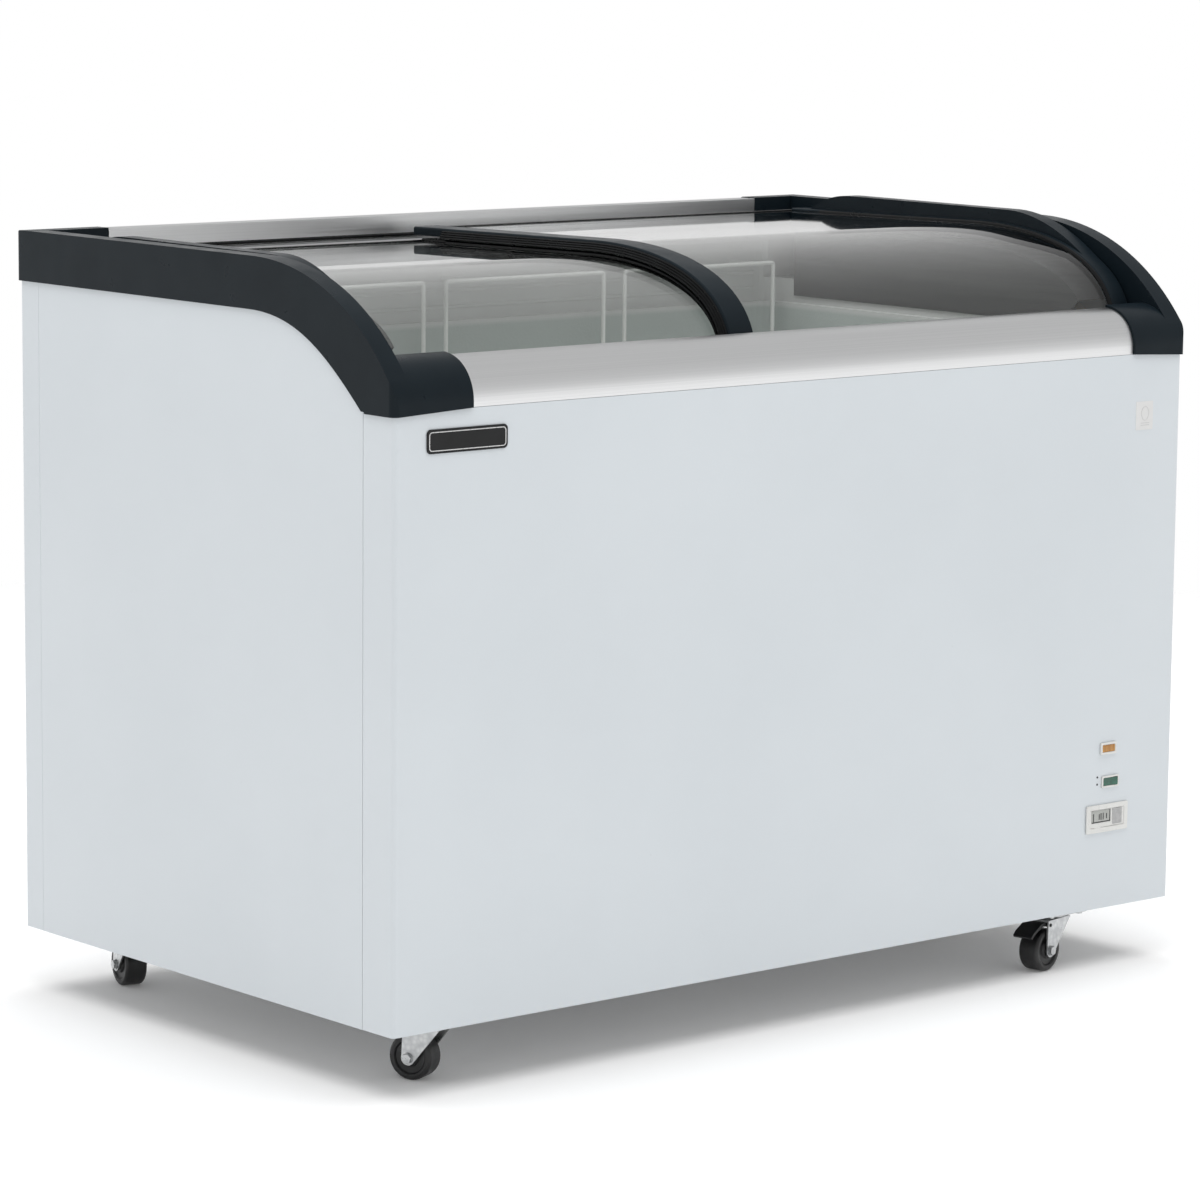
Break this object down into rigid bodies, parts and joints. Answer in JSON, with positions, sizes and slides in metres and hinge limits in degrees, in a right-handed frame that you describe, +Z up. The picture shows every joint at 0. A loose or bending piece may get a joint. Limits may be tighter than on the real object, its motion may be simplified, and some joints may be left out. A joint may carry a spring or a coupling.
{
  "type": "chest freezer",
  "caption": "Display chest freezer with curved sliding glass lids, metal front rail, hanging wire baskets, front controls and swivel casters.",
  "frame": {"origin": "on the floor, under the middle of the cabinet", "axes": "+X to the right along the length, +Y to the rear, +Z up; the front with the controls faces -Y"},
  "size_m": [1.157, 0.69, 0.867],
  "materials": {
    "white_paint": "satin",
    "zinc_steel": "satin",
    "insulation": "matte",
    "liner_grey": "satin",
    "copper": "satin",
    "satin_aluminium": "satin",
    "slate_plastic": "satin",
    "black_plastic": "satin",
    "black_seal": "matte",
    "grey_plastic": "matte",
    "lid_glass": "gloss",
    "coated_wire": "satin",
    "wheel_rubber": "satin",
    "control_plastic": "satin",
    "amber_lens": "gloss",
    "green_rocker": "gloss",
    "display": "gloss",
    "black_paint": "satin",
    "fan_aluminium": "satin"
  },
  "bodies": {
    "cabinet": {"front_panel": "white_paint", "rear_panel": "white_paint", "side_panel_left": "white_paint", "side_panel_right": "white_paint", "base_pan": "zinc_steel", "compressor_plate": "zinc_steel", "caster_front_left_plate": "zinc_steel", "caster_front_right_plate": "zinc_steel", "caster_rear_left_plate": "zinc_steel", "caster_rear_right_plate": "zinc_steel", "insulation_foam": "insulation", "inner_liner": "liner_grey", "evaporator_coil": "copper", "condenser": "copper", "front_rail": "satin_aluminium", "rear_rail": "satin_aluminium", "end_cap_left": "slate_plastic", "end_cap_right": "slate_plastic", "front_track": "black_plastic", "rear_track": "black_plastic", "badge_plate": "black_plastic", "rear_grille": "black_plastic", "cord_gland": "black_plastic", "terminal_box": "black_plastic", "inner_trim_left": "grey_plastic", "inner_trim_right": "grey_plastic", "rocker_housing": "control_plastic", "thermometer_bezel": "control_plastic", "indicator_lamp": "amber_lens", "thermometer_display": "display", "compressor": "black_paint", "fan_motor": "black_paint"},
    "left_lid": {"left_lid_glass": "lid_glass", "left_lid_handle": "slate_plastic", "left_lid_inner_trim": "black_seal", "left_lid_front_runner": "black_plastic", "left_lid_rear_runner": "black_plastic"},
    "right_lid": {"right_lid_glass": "lid_glass", "right_lid_handle": "slate_plastic", "right_lid_inner_trim": "slate_plastic", "right_lid_front_runner": "black_plastic", "right_lid_rear_runner": "black_plastic"},
    "basket_left_body": {"basket_left": "coated_wire"},
    "basket_middle_body": {"basket_middle": "coated_wire"},
    "basket_right_body": {"basket_right": "coated_wire"},
    "caster_front_left_swivel": {"caster_front_left_fork": "zinc_steel", "caster_front_left_axle": "zinc_steel"},
    "caster_front_left_roller": {"caster_front_left_wheel": "wheel_rubber"},
    "caster_front_right_swivel": {"caster_front_right_fork": "zinc_steel", "caster_front_right_axle": "zinc_steel"},
    "caster_front_right_roller": {"caster_front_right_wheel": "wheel_rubber"},
    "caster_rear_left_swivel": {"caster_rear_left_fork": "zinc_steel", "caster_rear_left_axle": "zinc_steel"},
    "caster_rear_left_roller": {"caster_rear_left_wheel": "wheel_rubber"},
    "caster_rear_right_swivel": {"caster_rear_right_fork": "zinc_steel", "caster_rear_right_axle": "zinc_steel"},
    "caster_rear_right_roller": {"caster_rear_right_wheel": "wheel_rubber"},
    "brake_pedal": {"caster_front_right_brake": "black_plastic"},
    "power_rocker": {"rocker_button": "green_rocker"},
    "condenser_fan": {"fan_blade": "fan_aluminium"}
  },
  "joints": [
    {"name": "left_lid_slide", "type": "slide", "parent": "cabinet", "child": "left_lid", "axis": [1, 0, 0], "range_m": [0, 0.44]},
    {"name": "right_lid_slide", "type": "slide", "parent": "cabinet", "child": "right_lid", "axis": [1, 0, 0], "range_m": [-0.44, 0]},
    {"name": "basket_left_slide", "type": "slide", "parent": "cabinet", "child": "basket_left_body", "axis": [1, 0, 0], "range_m": [-0.17, 0.012]},
    {"name": "basket_middle_slide", "type": "slide", "parent": "cabinet", "child": "basket_middle_body", "axis": [1, 0, 0], "range_m": [-0.012, 0.012]},
    {"name": "basket_right_slide", "type": "slide", "parent": "cabinet", "child": "basket_right_body", "axis": [1, 0, 0], "range_m": [-0.012, 0.012]},
    {"name": "caster_front_left_turn", "type": "hinge", "parent": "cabinet", "child": "caster_front_left_swivel", "pos_m": [-0.477, -0.2845, 0.065], "axis": [0, 0, 1], "continuous": true},
    {"name": "caster_front_left_roll", "type": "hinge", "parent": "caster_front_left_swivel", "child": "caster_front_left_roller", "pos_m": [-0.48595, -0.2644, 0.025], "axis": [-0.9135, -0.4067, 0], "continuous": true},
    {"name": "caster_front_right_turn", "type": "hinge", "parent": "cabinet", "child": "caster_front_right_swivel", "pos_m": [0.419, -0.3035, 0.065], "axis": [0, 0, 1], "continuous": true},
    {"name": "caster_front_right_roll", "type": "hinge", "parent": "caster_front_right_swivel", "child": "caster_front_right_roller", "pos_m": [0.3974, -0.3077, 0.025], "axis": [0.1908, -0.9816, 0], "continuous": true},
    {"name": "caster_rear_left_turn", "type": "hinge", "parent": "cabinet", "child": "caster_rear_left_swivel", "pos_m": [-0.484, 0.2545, 0.065], "axis": [0, 0, 1], "continuous": true},
    {"name": "caster_rear_left_roll", "type": "hinge", "parent": "caster_rear_left_swivel", "child": "caster_rear_left_roller", "pos_m": [-0.47905, 0.27594, 0.025], "axis": [-0.9744, 0.225, 0], "continuous": true},
    {"name": "caster_rear_right_turn", "type": "hinge", "parent": "cabinet", "child": "caster_rear_right_swivel", "pos_m": [0.419, 0.2545, 0.065], "axis": [0, 0, 1], "continuous": true},
    {"name": "caster_rear_right_roll", "type": "hinge", "parent": "caster_rear_right_swivel", "child": "caster_rear_right_roller", "pos_m": [0.41518, 0.27617, 0.025], "axis": [-0.9848, -0.1736, 0], "continuous": true},
    {"name": "brake_press", "type": "hinge", "parent": "caster_front_right_swivel", "child": "brake_pedal", "pos_m": [0.39544, -0.30808, 0.0552], "axis": [0.1908, -0.9816, 0], "range_deg": [0, 8]},
    {"name": "power_switch", "type": "hinge", "parent": "cabinet", "child": "power_rocker", "pos_m": [0.4725, -0.3375, 0.2195], "axis": [0, 0, 1], "range_deg": [0, 10]},
    {"name": "condenser_fan_spin", "type": "hinge", "parent": "cabinet", "child": "condenser_fan", "pos_m": [0.45, -0.2265, 0.198], "axis": [0, 1, 0], "continuous": true}
  ]
}
